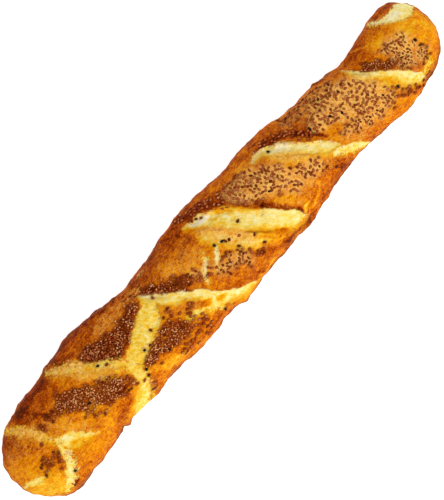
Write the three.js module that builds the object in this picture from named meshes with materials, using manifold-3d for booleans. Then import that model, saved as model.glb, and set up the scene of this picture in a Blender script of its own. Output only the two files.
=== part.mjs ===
// A sesame baguette: one loaf with torn slashes, raised ears and sesame baked onto its crust.
// Millimetres. It lies along X on its flat base, with +Z up and the origin under its middle.
import * as THREE from 'three';
import Module from 'manifold-3d';
import { ParametricGeometry } from 'three/addons/geometries/ParametricGeometry.js';
import { mergeVertices } from 'three/addons/utils/BufferGeometryUtils.js';

// The loaf's length, and how its two ends round off
const LENGTH = 530;
const BROAD_END = { reach: 51, power: 2.1 };
const NARROW_END = { reach: 36, power: 2.2 };

// The loaf's two long sides seen from above, as [x, y] before the ends are rounded off
const FAR_SIDE = [
  [-265, 39.5], [-235, 39], [-205, 41], [-175, 44.5], [-145, 48.3], [-118, 46], [-80, 38.8], [-45, 42],
  [0, 47.3], [45, 43.2], [93, 42.8], [136, 34.4], [153, 34.6], [187, 28.9], [212, 32.2], [240, 37.2],
  [265, 38.2],
];
const NEAR_SIDE = [
  [-265, -46], [-243, -49], [-215, -45.4], [-180, -42], [-158, -39.2], [-140, -41.2], [-100, -40.8],
  [-62, -44], [-32, -42.2], [-17, -44.8], [10, -43.5], [76, -41.4], [119, -35], [145, -34.4],
  [204, -40.4], [236, -34.6], [265, -32],
];

// A cross section: an ellipse cut flat where it rests
const HALF_HEIGHT_SHARE = 0.78;
const MIDDLE_HEIGHT_SHARE = 0.72;
const BASE_BLEND = 3;

// The flat of the underside that the loaf rests on, seen from above, and how far it stands proud
const SOLE = [[-235, 0], [-205, -25], [205, -21], [230, -5], [205, 14], [-205, 25]];
const SOLE_PROUD = 0.5;
const SOLE_SUNK = 2;

// Limits for reading the crust's height and slope
const STEEPEST_ACROSS = 0.98;
const SLOPE_STEP = 0.5;

// The slashes and tears seen from above: points of [x, y, half width], and the height of the ear
// that stands along the left hand of the path
const OPENINGS = {
  endSlash: {
    ear: 0,
    path: [
      [-241, 34, 1.5], [-231, 20.5, 3.5], [-221, 7.5, 4], [-212, -7, 5], [-200, -17, 5], [-186, -26, 1],
    ],
  },
  endFork: { ear: 0, path: [[-214, -10, 3.5], [-218, -24, 4], [-228, -32, 4], [-245, -37, 1.5]] },
  endNick: { ear: 0, path: [[-263, -12, 1], [-252, -15.5, 2], [-241, -19.5, 1]] },
  secondSlash: {
    ear: 0,
    path: [
      [-180, 41, 1.5], [-170, 35, 3.5], [-156, 24, 5], [-141, 9.5, 5], [-129, -3.5, 6], [-125, -18, 5],
    ],
  },
  sideSplit: { ear: 0, path: [[-126, -17, 4], [-134, -30, 6], [-148, -35.5, 5], [-161, -36.5, 1.5]] },
  crossTear: { ear: 0, path: [[-76, 22, 4], [-88, 7, 9.5], [-103, -3.5, 9.5], [-122, -7.5, 7.5]] },
  thirdSlash: {
    ear: 2,
    path: [
      [-80, 29, 1.5], [-69, 14.5, 7], [-54, -1, 7], [-39, -13.5, 6], [-25, -29, 7], [-12, -39, 3.5],
      [0, -41.5, 1],
    ],
  },
  lowCrack: { ear: 0, path: [[-29, -7, 1.5], [-21, -3.5, 2.5], [-13, 2.5, 1]] },
  highCrack: { ear: 0, path: [[-13, -6, 1.5], [-6, -1, 2.5], [1.5, 5, 1]] },
  fourthSlash: {
    ear: 4,
    path: [
      [-13, 37.5, 1.5], [3.5, 27, 7], [20.5, 13.5, 11], [35.5, -3.5, 12], [51, -21, 11], [66, -35, 4],
    ],
  },
  fifthSlash: {
    ear: 3.5,
    path: [[73, 30.5, 3.5], [90, 25.5, 3.5], [105, 14.5, 7], [119, -1.5, 7.5], [132, -15, 2.5]],
  },
  fifthTail: { ear: 0, path: [[120, -18.5, 1], [132, -24, 3.5], [144, -30, 3.5], [154, -35, 1]] },
  sixthSlash: {
    ear: 2.5,
    path: [[180, 22, 1], [190, 6, 3.5], [204, -12, 6], [217, -26.5, 7], [227, -32.5, 2.5]],
  },
  tipSlash: { ear: 0, path: [[221, 34, 1], [233, 26.5, 3.5], [245, 22, 7], [256, 20.5, 7.5]] },
};
const OPENING_LOWEST = 27;
const OPENING_TOP = 80;
const EAR_WIDTH = 6;
const EAR_TAPER = 0.6;

// Where sesame lies, seen from above: bands between two points, with a half width and a spacing
const SEED_BANDS = [
  { from: [-234, -12], to: [-220, -13], halfWidth: 5, spacing: 5.8 },
  { from: [-194, 10], to: [-136, -15], halfWidth: 11, spacing: 5.8 },
  { from: [-141, 22], to: [-97, 19], halfWidth: 9, spacing: 5.8 },
  { from: [-104, -18], to: [-58, -24], halfWidth: 9, spacing: 5.8 },
  { from: [-71, 30], to: [-30, -4], halfWidth: 8, spacing: 5.8 },
  { from: [-48, 26], to: [-8, 12], halfWidth: 10, spacing: 9 },
  { from: [-17, -13], to: [22, -26], halfWidth: 9, spacing: 7.8 },
  { from: [33, 26], to: [105, -9], halfWidth: 17, spacing: 7.8 },
  { from: [134, 10], to: [195, -10], halfWidth: 24, spacing: 7.8 },
  { from: [190, 20], to: [236, -16], halfWidth: 12, spacing: 5.8 },
];
const SEED = { length: 3.2, width: 2, height: 1.6 };
const SEED_SUNK = 0.3;
const SEED_CLEARANCE = 2.4;
const SEED_REACH = 0.88;
const SEED_DRAW = 13;
const TRIES_PER_SEED = 8;

// How far inside the crust the crumb lies, at the loaf's top, sides and ends
const NO_INSET = { top: 0, side: 0, end: 0 };
const CRUMB_INSET = { top: 3.2, side: 1, end: 1 };

// How finely the forms are divided
const AROUND_TOP = 25;
const AROUND_BASE = 3;
const END_ROWS = 7;
const BODY_ROWS = 40;
const TOP_SWEEP = THREE.MathUtils.degToRad(288);
const OPENING_STEP = 8;
const CLEARANCE_STEP = 3;
const EAR_STEP = 9;
const EAR_SIDES = 6;
const SEED_SIDES = 5;
const SEED_BELTS = 3;

const CRUST_COLOUR = 0xc8761f;

const wasm = await Module();
wasm.setup();

// Sizes along the loaf

function lineAlong(points) {
  const places = points.map((point) => point[0]);
  const values = points.map((point) => point[1]);
  const curve = new THREE.CubicInterpolant(places, values, 1);
  return (x) => curve.evaluate(x)[0];
}

const farSide = lineAlong(FAR_SIDE);
const nearSide = lineAlong(NEAR_SIDE);

function endRounding(x) {
  const end = x < 0 ? BROAD_END : NARROW_END;
  const into = (Math.abs(x) - (LENGTH / 2 - end.reach)) / end.reach;
  const share = THREE.MathUtils.clamp(into, 0, 1);
  return (1 - share ** end.power) ** (1 / end.power);
}

function sectionAt(x, inset = NO_INSET) {
  const grown = LENGTH / 2 / (LENGTH / 2 - inset.end);
  const halfWidth = (farSide(x) - nearSide(x)) / 2;
  const halfHeight = halfWidth * HALF_HEIGHT_SHARE;
  const rounding = endRounding(x * grown);
  return {
    middle: (farSide(x) + nearSide(x)) / 2,
    height: halfHeight * MIDDLE_HEIGHT_SHARE,
    halfWidth: (halfWidth - inset.side) * rounding,
    halfHeight: (halfHeight - inset.top) * rounding,
  };
}

function restOnBase(z) {
  if (z > BASE_BLEND) return z;
  if (z < -BASE_BLEND) return 0;
  return (z + BASE_BLEND) ** 2 / (4 * BASE_BLEND);
}

// The crust's height over a point seen from above, and its slope there

function crustHeight(x, y) {
  const section = sectionAt(x);
  const offset = (y - section.middle) / section.halfWidth;
  const across = THREE.MathUtils.clamp(offset, -STEEPEST_ACROSS, STEEPEST_ACROSS);
  return section.height + section.halfHeight * Math.sqrt(1 - across * across);
}

function crustNormal(x, y) {
  const slopeX = (crustHeight(x + SLOPE_STEP, y) - crustHeight(x - SLOPE_STEP, y)) / (2 * SLOPE_STEP);
  const slopeY = (crustHeight(x, y + SLOPE_STEP) - crustHeight(x, y - SLOPE_STEP)) / (2 * SLOPE_STEP);
  return new THREE.Vector3(-slopeX, -slopeY, 1).normalize();
}

// From geometry to solid and back

function solidOf(geometry) {
  geometry.deleteAttribute('normal');
  geometry.deleteAttribute('uv');
  const merged = mergeVertices(geometry);
  const corners = merged.index.array;
  const faces = [];
  for (let i = 0; i < corners.length; i += 3) {
    const face = corners.slice(i, i + 3);
    if (new Set(face).size === 3) faces.push(...face);
  }
  const mesh = new wasm.Mesh({
    numProp: 3,
    vertProperties: Float32Array.from(merged.attributes.position.array),
    triVerts: Uint32Array.from(faces),
  });
  return new wasm.Manifold(mesh);
}

function geometryOf(solid) {
  const mesh = solid.getMesh();
  const geometry = new THREE.BufferGeometry();
  geometry.setAttribute('position', new THREE.Float32BufferAttribute(mesh.vertProperties, 3));
  geometry.setIndex(Array.from(mesh.triVerts));
  return geometry;
}

// The loaf, or the crumb inside it

function placeOfRow(row, endInset) {
  const half = LENGTH / 2;
  const scale = (half - endInset) / half;
  const bodyStart = BROAD_END.reach - half;
  const bodyEnd = half - NARROW_END.reach;
  const quarter = Math.PI / 2;
  if (row < END_ROWS) return scale * (bodyStart - BROAD_END.reach * Math.cos((quarter * row) / END_ROWS));
  const past = row - END_ROWS - BODY_ROWS;
  if (past > 0) return scale * (bodyEnd + NARROW_END.reach * Math.sin((quarter * past) / END_ROWS));
  return scale * THREE.MathUtils.lerp(bodyStart, bodyEnd, (row - END_ROWS) / BODY_ROWS);
}

function angleOfColumn(column) {
  const start = (Math.PI - TOP_SWEEP) / 2;
  if (column <= AROUND_TOP) return start + (TOP_SWEEP * column) / AROUND_TOP;
  const rest = 2 * Math.PI - TOP_SWEEP;
  return start + TOP_SWEEP + (rest * (column - AROUND_TOP)) / AROUND_BASE;
}

function loafForm(inset) {
  const columns = AROUND_TOP + AROUND_BASE;
  const rows = BODY_ROWS + 2 * END_ROWS;
  const surface = (u, v, point) => {
    const x = placeOfRow(Math.round(v * rows), inset.end);
    const angle = angleOfColumn(Math.round(u * columns) % columns);
    const section = sectionAt(x, inset);
    const y = section.middle + section.halfWidth * Math.cos(angle);
    const z = section.height + section.halfHeight * Math.sin(angle);
    point.set(x, y, inset.top + restOnBase(z - inset.top));
  };
  return solidOf(new ParametricGeometry(surface, columns, rows));
}

function soleFlat() {
  const outline = new THREE.Shape(SOLE.map((corner) => new THREE.Vector2(...corner)));
  const geometry = new THREE.ExtrudeGeometry(outline, { depth: SOLE_PROUD + SOLE_SUNK, bevelEnabled: false });
  geometry.translate(0, 0, -SOLE_PROUD);
  return solidOf(geometry);
}

// Slashes: a curve through [x, y, half width], opened to both sides of its path

function openingStations(path, stepLength) {
  const curve = new THREE.CatmullRomCurve3(path.map((point) => new THREE.Vector3(...point)));
  const steps = Math.ceil(curve.getLength() / stepLength);
  const stations = [];
  for (let i = 0; i <= steps; i += 1) {
    const point = curve.getPoint(i / steps);
    const heading = curve.getTangent(i / steps).setZ(0).normalize();
    stations.push({
      middle: new THREE.Vector2(point.x, point.y),
      left: new THREE.Vector2(-heading.y, heading.x),
      halfWidth: point.z,
    });
  }
  return stations;
}

function leftEdgeOf(at) {
  return at.middle.clone().addScaledVector(at.left, at.halfWidth);
}

function openingCut(path) {
  const stations = openingStations(path, OPENING_STEP);
  const leftEdge = stations.map(leftEdgeOf);
  const rightEdge = stations.map((at) => at.middle.clone().addScaledVector(at.left, -at.halfWidth));
  const outline = new THREE.Shape([...leftEdge, ...rightEdge.reverse()]);
  const geometry = new THREE.ExtrudeGeometry(outline, {
    depth: OPENING_TOP - OPENING_LOWEST,
    bevelEnabled: false,
  });
  geometry.translate(0, 0, OPENING_LOWEST);
  return solidOf(geometry);
}

// An ear: a lip along a slash's edge, highest at its middle and running out at both ends

function earFullness(share) {
  return share <= 0 || share >= 1 ? 0 : Math.sin(Math.PI * share) ** EAR_TAPER;
}

function earRidge(path, height) {
  const stations = openingStations(path, EAR_STEP);
  const rows = stations.length - 1;
  const surface = (u, v, point) => {
    const row = Math.round(v * rows);
    const at = stations[row];
    const edge = leftEdgeOf(at);
    const up = crustNormal(edge.x, edge.y);
    const heading = new THREE.Vector3(at.left.y, -at.left.x, 0);
    const side = new THREE.Vector3().crossVectors(up, heading).normalize();
    const fullness = earFullness(row / rows);
    const angle = (2 * Math.PI * (Math.round(u * EAR_SIDES) % EAR_SIDES)) / EAR_SIDES;
    point.set(edge.x, edge.y, crustHeight(edge.x, edge.y));
    point.addScaledVector(side, fullness * EAR_WIDTH * Math.cos(angle));
    point.addScaledVector(up, fullness * height * Math.sin(angle));
  };
  return solidOf(new ParametricGeometry(surface, EAR_SIDES, rows));
}

function earLift(spot) {
  const flatness = Math.cos(Math.PI / EAR_SIDES);
  const lifts = Object.values(OPENINGS).map((opening) => {
    const stations = openingStations(opening.path, CLEARANCE_STEP);
    const distances = stations.map((at) => spot.distanceTo(leftEdgeOf(at)));
    const nearest = distances.indexOf(Math.min(...distances));
    const fullness = earFullness(nearest / (stations.length - 1));
    const away = Math.min(distances[nearest] / (fullness * EAR_WIDTH), 1);
    return flatness * opening.ear * fullness * Math.sqrt(1 - away * away);
  });
  return Math.max(...lifts);
}

// Sesame: even darts thrown over each band, kept apart from one another and clear of the slashes

function clearOfOpenings(spot) {
  return Object.values(OPENINGS).every((opening) =>
    openingStations(opening.path, CLEARANCE_STEP).every(
      (at) => spot.distanceTo(at.middle) > at.halfWidth + SEED_CLEARANCE,
    ),
  );
}

function seedSpots() {
  const spots = [];
  THREE.MathUtils.seededRandom(SEED_DRAW);
  const draw = () => THREE.MathUtils.seededRandom();
  for (const band of SEED_BANDS) {
    const start = new THREE.Vector2(...band.from);
    const run = new THREE.Vector2(...band.to).sub(start);
    const side = new THREE.Vector2(-run.y, run.x).normalize();
    const room = (run.length() * 2 * band.halfWidth) / band.spacing ** 2;
    for (let i = 0; i < TRIES_PER_SEED * room; i += 1) {
      const spot = start.clone().addScaledVector(run, draw());
      spot.addScaledVector(side, band.halfWidth * (2 * draw() - 1));
      const section = sectionAt(spot.x);
      const onTop = Math.abs(spot.y - section.middle) < SEED_REACH * section.halfWidth;
      const apart = spots.every((other) => other.distanceTo(spot) > band.spacing);
      if (onTop && apart && clearOfOpenings(spot)) spots.push(spot);
    }
  }
  return spots;
}

function seedAt(spot) {
  const up = crustNormal(spot.x, spot.y);
  const turn = 2 * Math.PI * THREE.MathUtils.seededRandom();
  const along = new THREE.Vector3(Math.cos(turn), Math.sin(turn), 0).projectOnPlane(up).normalize();
  const across = new THREE.Vector3().crossVectors(along, up);
  const place = new THREE.Matrix4().makeBasis(
    across.multiplyScalar(SEED.width / 2),
    along.multiplyScalar(SEED.length / 2),
    up.clone().multiplyScalar(SEED.height / 2),
  );
  const geometry = new THREE.SphereGeometry(1, SEED_SIDES, SEED_BELTS);
  geometry.applyMatrix4(place);
  geometry.translate(spot.x, spot.y, crustHeight(spot.x, spot.y));
  geometry.translate(...up.multiplyScalar(earLift(spot) - SEED_SUNK).toArray());
  return solidOf(geometry);
}

// The whole loaf

function bakedLoaf() {
  const openings = Object.values(OPENINGS);
  const ears = openings.filter((opening) => opening.ear > 0);
  const ridges = ears.map((opening) => earRidge(opening.path, opening.ear));
  const crust = ridges.reduce((loaf, ridge) => loaf.add(ridge), loafForm(NO_INSET).add(soleFlat()));
  const cuts = openings.map((opening) => openingCut(opening.path));
  const room = cuts.reduce((whole, cut) => whole.add(cut)).subtract(loafForm(CRUMB_INSET));
  return seedSpots().reduce((loaf, spot) => loaf.add(seedAt(spot)), crust.subtract(room));
}

const crustMaterial = new THREE.MeshStandardMaterial({ color: CRUST_COLOUR, roughness: 0.6, metalness: 0 });
const baguette = new THREE.Mesh(geometryOf(bakedLoaf()), crustMaterial);
baguette.name = 'baguette';
baguette.geometry.computeBoundingBox();
const middle = baguette.geometry.boundingBox.getCenter(new THREE.Vector3());
baguette.geometry.translate(-middle.x, -middle.y, -baguette.geometry.boundingBox.min.z);
baguette.geometry.computeVertexNormals();

const loaf = new THREE.Group();
loaf.add(baguette);

export default loaf;
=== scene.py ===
import math

import bpy
import numpy as np
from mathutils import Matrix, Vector, noise
from mathutils.bvhtree import BVHTree
from mathutils.kdtree import KDTree


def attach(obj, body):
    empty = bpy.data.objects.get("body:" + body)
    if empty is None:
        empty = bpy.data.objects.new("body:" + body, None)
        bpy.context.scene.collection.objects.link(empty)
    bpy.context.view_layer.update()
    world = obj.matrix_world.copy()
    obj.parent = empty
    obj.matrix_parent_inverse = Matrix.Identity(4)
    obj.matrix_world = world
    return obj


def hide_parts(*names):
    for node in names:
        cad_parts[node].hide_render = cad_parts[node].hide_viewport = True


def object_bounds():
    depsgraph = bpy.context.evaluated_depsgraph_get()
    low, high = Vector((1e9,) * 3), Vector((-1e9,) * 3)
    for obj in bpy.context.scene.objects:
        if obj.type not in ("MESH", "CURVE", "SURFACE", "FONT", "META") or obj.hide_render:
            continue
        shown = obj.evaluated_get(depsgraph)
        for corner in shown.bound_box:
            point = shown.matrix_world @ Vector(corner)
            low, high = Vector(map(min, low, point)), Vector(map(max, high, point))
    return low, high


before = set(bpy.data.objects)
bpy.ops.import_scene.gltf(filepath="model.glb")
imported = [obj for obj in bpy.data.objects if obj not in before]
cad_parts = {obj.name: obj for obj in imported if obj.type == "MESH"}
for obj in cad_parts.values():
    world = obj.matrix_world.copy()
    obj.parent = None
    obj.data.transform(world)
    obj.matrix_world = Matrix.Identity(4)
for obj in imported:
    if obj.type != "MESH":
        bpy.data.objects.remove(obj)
box_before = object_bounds()

MM = 0.001

# The loaf's two long sides seen from above, as (x, y) in millimetres before the ends are rounded off
FAR_SIDE = (
    (-265, 39.5), (-235, 39), (-205, 41), (-175, 44.5), (-145, 48.3), (-118, 46), (-80, 38.8), (-45, 42),
    (0, 47.3), (45, 43.2), (93, 42.8), (136, 34.4), (153, 34.6), (187, 28.9), (212, 32.2), (240, 37.2),
    (265, 38.2),
)
NEAR_SIDE = (
    (-265, -46), (-243, -49), (-215, -45.4), (-180, -42), (-158, -39.2), (-140, -41.2), (-100, -40.8),
    (-62, -44), (-32, -42.2), (-17, -44.8), (10, -43.5), (76, -41.4), (119, -35), (145, -34.4),
    (204, -40.4), (236, -34.6), (265, -32),
)
BROAD_END_REACH = 51
BROAD_END_POWER = 2.1
NARROW_END_REACH = 36
NARROW_END_POWER = 2.2
HALF_HEIGHT_SHARE = 0.78
MIDDLE_HEIGHT_SHARE = 0.72

# Small crags on the long sides: x, y, reach and how far each stands out, in millimetres
CRAGS = ((-163, -39.5, 4.6, 2.2), (-168, -39, 4, -1.5), (-18.5, -43.5, 5, 1.6), (156, 33.5, 4, 1.2))

# The rings that the loaf is drawn out from, slanted like the slashes except near the ends
RING_CORNERS = 54
BROAD_END_RINGS = 13
BODY_RINGS = 83
NARROW_END_RINGS = 12
RING_SLANT = 0.95
SLANT_STARTS = 20
SLANT_FULL = 115
SMOOTHING_LEVELS = 2

# Details are picked on a grid along the loaf and across to its near side, with steps of one photo pixel
GRID_STEP = 0.85
GRID_MIDDLE = 10

# The slashes and tears: points of (along, across, half width) on the grid, with the ear on the left hand
OPENINGS = {
    "end_slash": dict(
        path=(
            (-270, -40, 2), (-262, -31, 4), (-254, -20, 4.5), (-249, -10, 4.5), (-244, 0, 3.5),
            (-239, 10, 6), (-232, 16, 7.5), (-224, 21.5, 6), (-216, 27, 3), (-208, 31, 1.2),
        ),
        ear=0.3, depth=1.3, bake=0.21, burn=0.03, soft=5, rag=22,
    ),
    "end_tail": dict(
        path=((-241, 8, 4.5), (-233, 13.5, 7.5), (-225, 19.5, 7), (-216, 26, 3.6), (-207, 31, 1.2)),
        ear=0.3, depth=1.2, bake=0.13, burn=0.02, soft=2.5, rag=10,
    ),
    "end_fork": dict(
        path=(
            (-243, 10, 3.2), (-244.5, 20, 3.8), (-248, 29, 5), (-255, 36, 5), (-263, 41, 4.2), (-271, 44, 2),
        ),
        ear=0, depth=1.2, bake=0.09, burn=0, soft=2.5, rag=14,
    ),
    "end_nick": dict(
        path=((-299, 11.5, 1.5), (-289, 15.5, 3), (-281, 18.5, 2.5), (-275, 20, 1)),
        ear=0, depth=0.8, bake=0.1, burn=0, soft=2, rag=6,
    ),
    "second_slash": dict(
        path=(
            (-199, -47, 1.5), (-190, -40, 4), (-181, -34, 5.6), (-172, -25, 6), (-162, -15, 6),
            (-152, -8, 6), (-145, -1, 5.5), (-138, 7, 6.5), (-136, 17.5, 6.5),
        ),
        ear=0.4, depth=1.4, bake=0.17, burn=0.04, soft=6, rag=26,
    ),
    "side_split": dict(
        path=((-136, 17, 6), (-137, 25, 7), (-142, 33, 6), (-150, 40, 8), (-160, 44, 6), (-170, 46, 2)),
        ear=0, depth=1, bake=0.17, burn=0, soft=3, rag=16,
    ),
    "cross_tear": dict(
        path=(
            (-80.5, -30, 1.5), (-80, -19, 7.5), (-86, -12, 11.5), (-98, -4, 12.3), (-114, 3.5, 11.3),
            (-128, 9, 10),
        ),
        ear=0, depth=1.5, bake=0.175, burn=0, soft=2, rag=8,
    ),
    "third_slash": dict(
        path=(
            (-81, -30, 1.5), (-74, -20, 5), (-66, -9, 6.5), (-56, 0, 6), (-46, 7, 5), (-36, 17, 6),
            (-32, 29.5, 9.5), (-19, 38, 6), (-6, 44.5, 4.5), (7, 48.5, 2),
        ),
        ear=1.8, depth=2.6, bake=0.06, burn=0.08, soft=6, rag=12,
    ),
    "third_branch": dict(
        path=((-65, 21, 1), (-57, 23.5, 1.8), (-48, 26.5, 2.2), (-40, 32, 3), (-31, 38, 4)),
        ear=0, depth=0.8, bake=0.15, burn=0, soft=2, rag=14,
    ),
    "low_crack": dict(
        path=((-25, 14, 0.8), (-23, 9, 2), (-18, 3.5, 2.6), (-10, -1.5, 2.6), (-4, -7.5, 1.2)),
        ear=0, depth=0.8, bake=0.1, burn=0, soft=1.5, rag=8,
    ),
    "high_crack": dict(
        path=((-7, 13, 1.2), (-3, 7, 2.2), (3, 1, 2.6), (9, -6, 1.5)),
        ear=0, depth=0.8, bake=0.08, burn=0, soft=1.5, rag=8,
    ),
    "fourth_slash": dict(
        path=(
            (2, -40, 3), (14, -33, 6.5), (29, -22, 10.4), (41.5, -7, 12.4), (52, 5.5, 12.4),
            (64, 18.5, 11.5), (74, 30, 11), (82.5, 36, 9), (89.5, 40, 4),
        ),
        ear=3.4, depth=3, bake=0.1, burn=0.05, soft=9, rag=12,
    ),
    "fifth_slash": dict(
        path=(
            (95, -34, 2), (101, -35.5, 3.5), (109, -31.5, 4), (117, -25, 5.8), (125, -18.5, 7.2),
            (134, -9, 6.4), (143, 0, 6), (151.5, 9, 6.8), (160, 16, 5), (166, 20, 2),
        ),
        ear=3, depth=2.8, bake=0.06, burn=0.04, soft=9, rag=14,
    ),
    "fifth_tail": dict(
        path=((154, 22.5, 2.6), (163, 25.5, 4.2), (172, 30.5, 4.2), (180, 36, 4), (188, 40.5, 2)),
        ear=0.3, depth=1, bake=0.1, burn=0.03, soft=1.5, rag=8,
    ),
    "sixth_slash": dict(
        path=(
            (222.5, -27, 1), (227.5, -18, 2.6), (232, -9, 4.2), (238, -1, 5.4), (246, 7.5, 5.8),
            (254.5, 17.5, 7), (263, 28, 7.8), (271, 35, 5.5),
        ),
        ear=2.4, depth=2.2, bake=0.06, burn=0.03, soft=7, rag=12,
    ),
    "tip_crack": dict(
        path=((276, 35, 2), (283, 33, 2.4), (290, 31, 1.8), (294, 29.5, 0.8)),
        ear=0, depth=0.6, bake=0.2, burn=0, soft=2, rag=12,
    ),
    "tip_slash": dict(
        path=(
            (275, -38, 1.2), (283, -32.5, 2.5), (290, -27.5, 4), (298, -25, 7), (306, -23, 9.5),
            (313, -20, 8.5),
        ),
        ear=0.4, depth=1.4, bake=0.02, burn=0.02, soft=3, rag=9,
    ),
}

# Where the crust is browner than the rest: path, softness of the border in millimetres, change of bake
BROWNINGS = (
    (((-234, -35, 6), (-205, -35, 7)), 8, 0.05),
    (((-256, -44, 6), (-231, -48, 9), (-199, -47, 7)), 10, 0.13),
    (((-286, -9, 9), (-278, -21, 12), (-268, -14, 6)), 12, 0.07),
    (((-253, -36, 4), (-247, -35, 8), (-240, -39, 5)), 4, 0.15),
    (((-236, -43, 3), (-220, -43, 3), (-205, -45, 3)), 5, 0.08),
    (((-236, -29, 2), (-233, -24, 2.5), (-230, -20, 2)), 3, 0.1),
    (((-246, -17, 1.5), (-236, -14, 2), (-222, -17, 1.5)), 3, 0.06),
    (((-263, 46.5, 2), (-257, 46.5, 2)), 2, 0.35),
    (((-190, -54, 7), (-143, -55, 7), (-102, -49, 6)), 10, 0.14),
    (((-186, -47, 3), (-175, -42, 4), (-166, -38, 3)), 5, 0.16),
    (((-160, -42, 4), (-140, -43, 4)), 6, 0.06),
    (((-204, -28, 4), (-190, -17, 5), (-178, -8, 3)), 7, 0.06),
    (((-166, 18, 3), (-160, 22, 4), (-155, 20, 3)), 5, 0.14),
    (((-190, 39, 3), (-177, 35, 4), (-160, 33, 2.5)), 6, 0.13),
    (((-70, -45, 9), (-31, -45, 10), (-4, -48, 6)), 12, 0.07),
    (((-58, -8, 1.2), (-45, 3, 1.2), (-32, 15, 1.2)), 2, 0.12),
    (((8, -46, 4), (20, -44, 4), (30, -40, 4), (38, -35, 3)), 5, 0.14),
    (((40, -33, 3), (52, -21, 3.5), (62, -10, 3.5), (70, 0, 3)), 5, 0.16),
    (((69, 2, 2.6), (77, 12, 3.2), (85, 24.5, 3.2), (92, 35, 1.8)), 3.5, 0.28),
    (((35, 35, 3), (48, 40, 3), (58, 43, 2)), 5, 0.12),
    # This thin band is painted shade along the lower outline
    (((60, 46, 1.2), (75, 46, 1.2), (92, 46.5, 1.2)), 2, 0.25),
    (((48, -34, 4), (60, -30, 6), (70, -26, 4)), 9, 0.15),
    (((112, -37, 2.5), (124, -33, 3), (136, -27, 3)), 4, 0.12),
    (((142, -23, 2), (149, -16.5, 2.6), (155, -8.5, 2.5), (160.5, -0.5, 2.2), (165, 5.5, 1.5)), 3, 0.36),
    (((132, 28, 3), (148, 32, 4), (165, 35, 2)), 6, 0.08),
    (((92, 47, 3.5), (134, 41, 4.5), (163, 36.5, 3.5)), 7, 0.1),
    (((-60, 47, 3), (-20, 40, 2)), 6, 0.05),
    (((10, 40, 6), (60, 44, 4)), 8, 0.05),
    (((240, -33, 6), (262, -31, 5)), 8, 0.03),
    (((230, -19, 1.5), (238, -10, 2.5)), 3, 0.12),
    (((239, -11, 2.5), (243, -10, 2.5)), 3, 0.08),
    (((246, -5, 3), (256, 3, 3.5), (262, 9, 2.5)), 4, 0.02),
    (((283, -38, 2.5), (295, -38, 3), (303, -36, 2)), 4, 0.08),
    (((245, 34, 3), (262, 40, 3), (282, 40, 2)), 5, 0.05),
)

# Where the crust is more golden than the rest: path, softness, change of bake
GOLDENINGS = (
    (((150, -33, 6), (185, -32, 6), (205, -28, 5)), 8, 0.06),
    (((-235, 33, 8), (-205, 38, 8), (-192, 36, 5)), 10, 0.09),
    (((-292, 21, 10), (-272, 35, 14)), 12, 0.18),
    (((-189, 3.5, 2), (-185, 4.5, 2)), 2.5, 0.25),
    (((-160, 5, 2.5), (-156, 6.5, 2)), 3, 0.25),
    (((-178, -20, 4), (-165, -6, 4)), 7, 0.14),
    (((-175, 45, 7), (-155, 40, 8), (-141, 33, 7)), 8, 0.12),
    (((-129, 27, 3.6), (-110, 37, 5), (-88, 45, 3)), 5, 0.15),
    (((-63, 21, 4), (-43, 31, 5)), 7, 0.14),
    (((-64, 23, 1), (-55, 25.5, 1.2), (-48, 27, 1)), 2, 0.3),
    (((-20, 45, 2.5), (-5, 48, 2), (5, 49, 1.5)), 4, 0.2),
    (((-5, 48.5, 1), (20, 48.5, 1), (40, 47, 1)), 2, 0.25),
    (((6, -22, 5), (16, -8, 8), (28, 8, 8), (40, 24, 6)), 10, 0.26),
    (((0, -40, 4), (6, -30, 4)), 5, 0.14),
    (((44, 24, 1), (52, 33, 1.2), (62, 40.5, 1)), 2, 0.2),
    (((22, -4, 0.9), (33, 6, 1), (45, 19, 1), (58, 33, 0.9)), 1.8, 0.18),
    (((25, 8, 0.9), (38, 20, 0.9), (47, 31, 0.9)), 1.8, 0.14),
    (((76, 8, 6), (100, 24, 8)), 12, 0.04),
    (((93, 37, 0.9), (98, 33.5, 1.2), (103, 34, 0.9)), 1.6, 0.3),
    (((103, 41, 0.9), (110, 38, 0.9), (118, 36, 0.9), (124, 29, 0.9)), 1.6, 0.2),
    (((76, -38, 1), (84, -34, 1), (92, -30, 1)), 2, 0.2),
    (((80, -40, 3), (90, -37, 3)), 4, 0.1),
    (((112, -20, 5), (128, -5, 6), (145, 13, 4)), 8, 0.2),
    (((150, 17, 3), (162, 20, 3)), 4, 0.18),
    (((233, 2, 3.5), (247, 19, 4.5), (257, 30, 4.5)), 6, 0.16),
    (((243, -33, 0.9), (252, -29, 0.9), (260, -24, 0.9)), 1.6, 0.2),
    (((292, -7, 10), (306, 9, 14), (299, 28, 11)), 14, 0.11),
    (((258, -24, 5), (275, -19, 7)), 9, 0.12),
    (((28, 14, 5), (44, 30, 5), (52, 38, 3)), 8, 0.1),
    (((-164, -5, 5), (-148, 5, 5)), 6, 0.12),
    (((-40, -30, 0.8), (-39.5, -19, 0.8)), 1.6, 0.14),
    (((-29.5, -12, 0.8), (-29, 4, 0.8)), 1.6, 0.16),
)

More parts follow.
